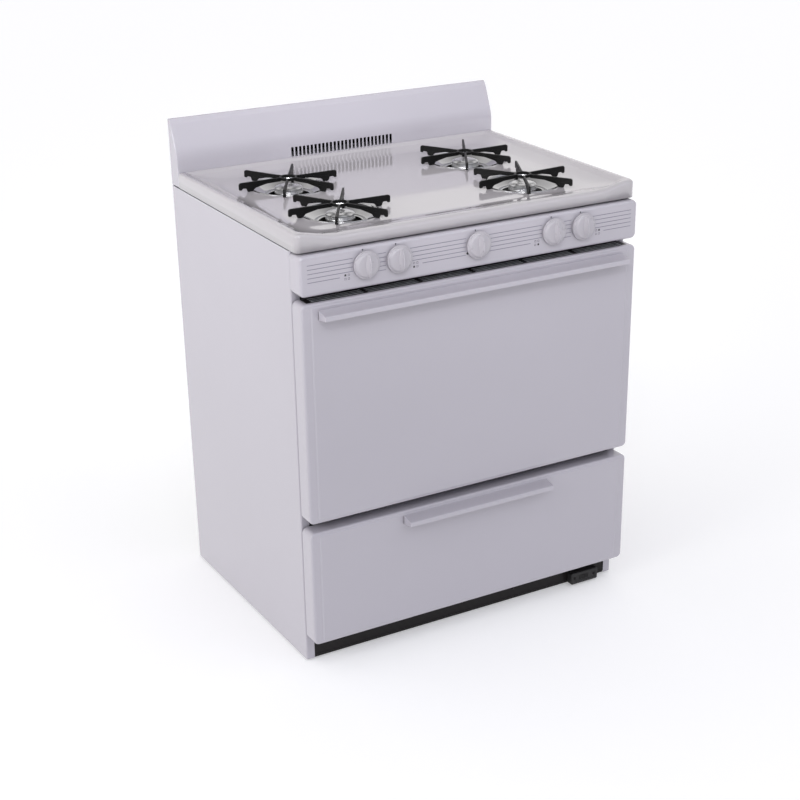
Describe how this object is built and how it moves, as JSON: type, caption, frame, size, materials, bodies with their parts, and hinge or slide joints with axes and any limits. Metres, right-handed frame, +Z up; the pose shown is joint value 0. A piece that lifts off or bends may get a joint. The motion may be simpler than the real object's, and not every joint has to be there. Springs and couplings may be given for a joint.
{
  "type": "freestanding gas range",
  "caption": "Freestanding gas range with a lift-up cooktop, cast grates, backguard with flue slots, knob panel, drop-down oven door and broiler drawer.",
  "frame": {"origin": "middle of the footprint, on the floor", "axes": "+X to the right seen from the front, +Y to the back, +Z up; the front faces -Y"},
  "size_m": [0.76, 0.622, 1.004],
  "materials": {
    "white_enamel": "gloss white baked enamel",
    "handle_enamel": "gloss white enamel",
    "porcelain_top": "high gloss white porcelain",
    "white_plastic": "semi-gloss white",
    "black_enamel": "semi-gloss black",
    "black_plastic": "matt black",
    "cast_iron": "black enamelled",
    "oven_porcelain": "speckled dark blue-grey porcelain",
    "chrome": "bright",
    "cast_aluminium": "as cast, satin",
    "zinc_steel": "zinc plated",
    "gasket_fibre": "braided glass fibre"
  },
  "bodies": {
    "root": {"side_panel_left": "white_enamel", "side_panel_right": "white_enamel", "backguard": "white_enamel", "control_panel": "white_enamel", "toe_plate": "black_enamel", "front_frame": "black_enamel", "battery_box": "black_plastic", "oven_liner": "oven_porcelain", "oven_bottom": "oven_porcelain", "burner_head_front_left": "cast_aluminium", "burner_head_rear_left": "cast_aluminium", "burner_head_rear_right": "cast_aluminium", "burner_head_front_right": "cast_aluminium", "burner_cap_front_left": "cast_aluminium", "burner_cap_rear_left": "cast_aluminium", "burner_cap_rear_right": "cast_aluminium", "burner_cap_front_right": "cast_aluminium", "oven_thermostat": "cast_aluminium", "rear_cover": "zinc_steel", "base_frame": "zinc_steel", "burner_tray": "zinc_steel", "flue_duct": "zinc_steel", "oven_burner": "zinc_steel", "gas_manifold": "zinc_steel", "door_hinge_left": "zinc_steel", "door_hinge_right": "zinc_steel"},
    "door": {"door_outer": "white_enamel", "door_liner": "oven_porcelain", "door_handle": "handle_enamel", "door_gasket": "gasket_fibre"},
    "drawer": {"drawer_front": "white_enamel", "drawer_tub": "zinc_steel", "drawer_handle": "handle_enamel", "broiler_pan": "oven_porcelain", "broiler_grid": "oven_porcelain"},
    "rack_lower": {"oven_rack_lower": "chrome"},
    "rack_upper": {"oven_rack_upper": "chrome"},
    "top": {"cooktop": "porcelain_top", "drip_bowl_front_left": "chrome", "drip_bowl_rear_left": "chrome", "drip_bowl_rear_right": "chrome", "drip_bowl_front_right": "chrome"},
    "grate_front_left": {"grate_front_left": "cast_iron"},
    "grate_rear_left": {"grate_rear_left": "cast_iron"},
    "grate_rear_right": {"grate_rear_right": "cast_iron"},
    "grate_front_right": {"grate_front_right": "cast_iron"},
    "valve_stem_1": {"valve_stem_1": "zinc_steel"},
    "knob_1": {"knob_1": "white_plastic"},
    "valve_stem_2": {"valve_stem_2": "zinc_steel"},
    "knob_2": {"knob_2": "white_plastic"},
    "valve_stem_oven": {"valve_stem_oven": "zinc_steel"},
    "knob_oven": {"knob_oven": "white_plastic"},
    "valve_stem_3": {"valve_stem_3": "zinc_steel"},
    "knob_3": {"knob_3": "white_plastic"},
    "valve_stem_4": {"valve_stem_4": "zinc_steel"},
    "knob_4": {"knob_4": "white_plastic"},
    "foot_front_left": {"foot_front_left": "zinc_steel"},
    "foot_rear_left": {"foot_rear_left": "zinc_steel"},
    "foot_front_right": {"foot_front_right": "zinc_steel"},
    "foot_rear_right": {"foot_rear_right": "zinc_steel"}
  },
  "joints": [
    {"name": "door_hinge", "type": "hinge", "parent": "root", "child": "door", "pos_m": [0, -0.2604, 0.3345], "axis": [1, 0, 0], "range_deg": [0, 90], "stiffness_Nm_per_rad": 9, "springref_deg": -6.88},
    {"name": "drawer_slide", "type": "slide", "parent": "root", "child": "drawer", "axis": [0, -1, 0], "range_m": [0, 0.35]},
    {"name": "rack_lower_slide", "type": "slide", "parent": "root", "child": "rack_lower", "axis": [0, -1, 0], "range_m": [0, 0.25]},
    {"name": "rack_upper_slide", "type": "slide", "parent": "root", "child": "rack_upper", "axis": [0, -1, 0], "range_m": [0, 0.25]},
    {"name": "top_lift", "type": "hinge", "parent": "root", "child": "top", "pos_m": [0, 0.2725, 0.904], "axis": [-1, 0, 0], "range_deg": [0, 35]},
    {"name": "grate_front_left_lift", "type": "slide", "parent": "top", "child": "grate_front_left", "axis": [0, 0, 1], "range_m": [0, 0.03]},
    {"name": "grate_rear_left_lift", "type": "slide", "parent": "top", "child": "grate_rear_left", "axis": [0, 0, 1], "range_m": [0, 0.03]},
    {"name": "grate_rear_right_lift", "type": "slide", "parent": "top", "child": "grate_rear_right", "axis": [0, 0, 1], "range_m": [0, 0.03]},
    {"name": "grate_front_right_lift", "type": "slide", "parent": "top", "child": "grate_front_right", "axis": [0, 0, 1], "range_m": [0, 0.03]},
    {"name": "push_1", "type": "slide", "parent": "root", "child": "valve_stem_1", "axis": [0, 1, 0], "range_m": [0, 0.003], "stiffness_N_per_m": 300},
    {"name": "turn_1", "type": "hinge", "parent": "valve_stem_1", "child": "knob_1", "pos_m": [-0.2445, -0.29, 0.8315], "axis": [0, -1, 0], "range_deg": [0, 210]},
    {"name": "push_2", "type": "slide", "parent": "root", "child": "valve_stem_2", "axis": [0, 1, 0], "range_m": [0, 0.003], "stiffness_N_per_m": 300},
    {"name": "turn_2", "type": "hinge", "parent": "valve_stem_2", "child": "knob_2", "pos_m": [-0.1747, -0.29, 0.8315], "axis": [0, -1, 0], "range_deg": [0, 210]},
    {"name": "push_oven", "type": "slide", "parent": "root", "child": "valve_stem_oven", "axis": [0, 1, 0], "range_m": [0, 0.003], "stiffness_N_per_m": 300},
    {"name": "turn_oven", "type": "hinge", "parent": "valve_stem_oven", "child": "knob_oven", "pos_m": [0, -0.29, 0.8315], "axis": [0, -1, 0], "range_deg": [0, 250]},
    {"name": "push_3", "type": "slide", "parent": "root", "child": "valve_stem_3", "axis": [0, 1, 0], "range_m": [0, 0.003], "stiffness_N_per_m": 300},
    {"name": "turn_3", "type": "hinge", "parent": "valve_stem_3", "child": "knob_3", "pos_m": [0.1747, -0.29, 0.8315], "axis": [0, -1, 0], "range_deg": [0, 210]},
    {"name": "push_4", "type": "slide", "parent": "root", "child": "valve_stem_4", "axis": [0, 1, 0], "range_m": [0, 0.003], "stiffness_N_per_m": 300},
    {"name": "turn_4", "type": "hinge", "parent": "valve_stem_4", "child": "knob_4", "pos_m": [0.2445, -0.29, 0.8315], "axis": [0, -1, 0], "range_deg": [0, 210]},
    {"name": "foot_front_left_screw", "type": "slide", "parent": "root", "child": "foot_front_left", "axis": [0, 0, -1], "range_m": [0, 0.02]},
    {"name": "foot_rear_left_screw", "type": "slide", "parent": "root", "child": "foot_rear_left", "axis": [0, 0, -1], "range_m": [0, 0.02]},
    {"name": "foot_front_right_screw", "type": "slide", "parent": "root", "child": "foot_front_right", "axis": [0, 0, -1], "range_m": [0, 0.02]},
    {"name": "foot_rear_right_screw", "type": "slide", "parent": "root", "child": "foot_rear_right", "axis": [0, 0, -1], "range_m": [0, 0.02]}
  ],
  "couplings": [
    {"joint": "rack_lower_slide", "follows": "door_hinge", "m_per_rad": 0.159},
    {"joint": "rack_upper_slide", "follows": "door_hinge", "m_per_rad": 0.159}
  ]
}
